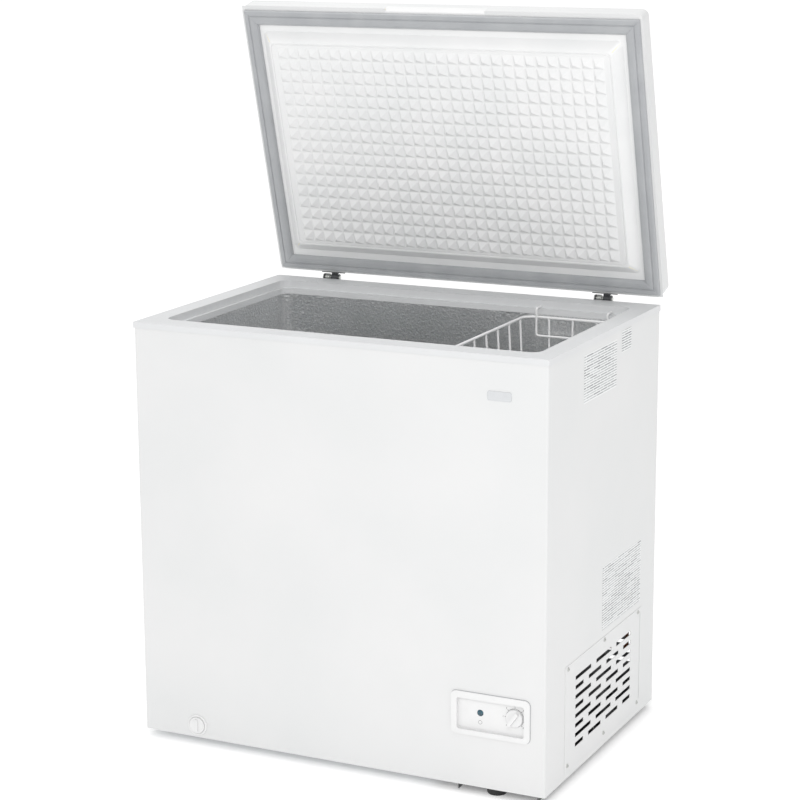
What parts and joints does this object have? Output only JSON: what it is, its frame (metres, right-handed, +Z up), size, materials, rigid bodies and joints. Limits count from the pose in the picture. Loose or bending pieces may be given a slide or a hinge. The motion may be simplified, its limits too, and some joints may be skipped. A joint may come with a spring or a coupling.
{
  "type": "chest freezer",
  "caption": "Compact top-opening chest freezer with a hinged lid, hanging wire basket, front thermostat dial, drain plug and side vent grille.",
  "frame": {"origin": "centre of the overall box at floor level, with the lid open as stored", "axes": "+Z up, -Y out of the front, +X to the right seen from the front"},
  "size_m": [0.8044, 0.5969, 1.329],
  "materials": {
    "painted_white": "white baked powder coat on cold-rolled steel",
    "galvanised": "galvanised sheet",
    "collar_plastic": "white injection-moulded ABS",
    "stucco_aluminium": "stucco-embossed aluminium sheet",
    "foam": "rigid polyurethane foam",
    "lid_liner_plastic": "white vacuum-formed polystyrene",
    "gasket_vinyl": "soft grey magnetic vinyl",
    "dark_steel": "black painted steel",
    "zinc_steel": "zinc-plated steel",
    "copper": "drawn copper tube",
    "black_plastic": "black polypropylene",
    "black_rubber": "black rubber",
    "white_plastic": "white moulded ABS",
    "teal_lens": "dark teal tinted lens",
    "wire_coating": "white dipped coating on steel wire",
    "label_paper": "matt vinyl label",
    "badge_plate": "pearl plastic plate",
    "condenser_steel": "copper-washed steel tube"
  },
  "bodies": {
    "cabinet": {"outer_wrap": "painted_white", "rear_panel": "galvanised", "bottom_panel": "galvanised", "bay_partition": "galvanised", "top_collar": "collar_plastic", "inner_liner": "stucco_aluminium", "foam_insulation": "foam", "drain_tube": "white_plastic", "drain_socket": "white_plastic", "control_panel": "white_plastic", "indicator_lens": "teal_lens", "indicator_lamp": "black_plastic", "thermostat_body": "zinc_steel", "control_housing": "white_plastic", "sensing_bulb": "copper", "condenser_coil": "condenser_steel", "evaporator_coil": "stucco_aluminium", "base_tray": "dark_steel", "foot_front_left": "black_plastic", "foot_back_left": "black_plastic", "foot_front_right": "black_plastic", "foot_back_right": "black_plastic", "compressor": "dark_steel", "compressor_grommets": "black_rubber", "compressor_bolts": "zinc_steel", "terminal_cover": "black_plastic", "starting_relay": "black_plastic", "discharge_tube": "copper", "suction_tube": "copper", "filter_drier": "copper", "capillary_tube": "copper", "grille_cover": "painted_white", "grille_screws": "zinc_steel", "rear_cover": "galvanised", "rear_cover_screws": "zinc_steel", "cord_gland": "black_rubber", "hinge_bracket_left": "dark_steel", "hinge_bracket_right": "dark_steel", "hinge_pins": "zinc_steel", "hinge_springs": "zinc_steel", "hinge_screws": "zinc_steel", "side_labels": "label_paper", "front_badge": "badge_plate"},
    "lid": {"lid_shell": "painted_white", "lid_liner": "lid_liner_plastic", "lid_foam": "foam", "lid_gasket": "gasket_vinyl", "lid_handle": "white_plastic", "hinge_leaf_left": "dark_steel", "hinge_leaf_right": "dark_steel", "leaf_screws": "zinc_steel"},
    "basket": {"basket_rim": "wire_coating", "basket_side_wires": "wire_coating", "basket_end_wires": "wire_coating", "basket_floor_wires": "wire_coating", "basket_hangers": "wire_coating"},
    "knob": {"thermostat_knob": "white_plastic", "thermostat_shaft": "zinc_steel"},
    "drain_plug": {"drain_plug": "white_plastic"},
    "drain_stopper": {"drain_stopper": "black_rubber"}
  },
  "joints": [
    {"name": "lid_hinge", "type": "hinge", "parent": "cabinet", "child": "lid", "pos_m": [0, 0.26101, 0.7855], "axis": [-1, 0, 0], "range_deg": [-75, 10]},
    {"name": "basket_slide", "type": "slide", "parent": "cabinet", "child": "basket", "axis": [1, 0, 0], "range_m": [-0.51, 0.006]},
    {"name": "knob_turn", "type": "hinge", "parent": "cabinet", "child": "knob", "pos_m": [0.342, -0.28549, 0.15], "axis": [0, 1, 0], "range_deg": [-150, 150]},
    {"name": "drain_plug_pull", "type": "slide", "parent": "cabinet", "child": "drain_plug", "axis": [0, -1, 0], "range_m": [0, 0.04]},
    {"name": "drain_stopper_lift", "type": "slide", "parent": "cabinet", "child": "drain_stopper", "axis": [0, 0, 1], "range_m": [0, 0.04]}
  ]
}
